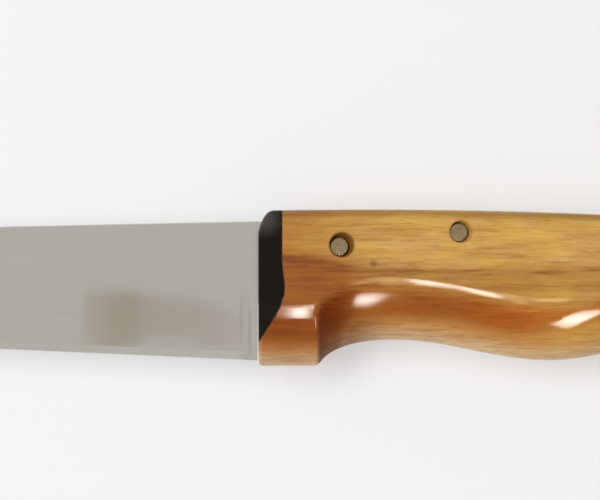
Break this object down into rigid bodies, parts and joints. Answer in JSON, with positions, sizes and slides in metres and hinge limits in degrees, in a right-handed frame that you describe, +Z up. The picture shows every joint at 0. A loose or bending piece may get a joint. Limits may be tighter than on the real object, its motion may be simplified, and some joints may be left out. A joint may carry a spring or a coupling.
{
  "type": "butcher knife",
  "caption": "Butcher knife: a flat-ground steel blade with a tapered tang riveted into a one-piece wooden handle with a guard, a finger scoop and a black front block.",
  "frame": {"origin": "under the middle of the knife's box, on the surface that its handle lies on", "axes": "+X from the tip to the butt, +Y from the cutting edge to the spine, +Z up through the thickness of the knife lying on its side"},
  "size_m": [0.311, 0.036, 0.023],
  "materials": {
    "blade_steel": "satin, ground lengthwise",
    "black_block": "polished black",
    "varnished_wood": "clear gloss varnish, grain lengthwise",
    "rivet_metal": "dull, hammered and sanded"
  },
  "bodies": {
    "root": {"blade": "blade_steel", "bolster": "black_block", "handle": "varnished_wood", "front_rivet": "rivet_metal", "rear_rivet": "rivet_metal"}
  },
  "joints": []
}
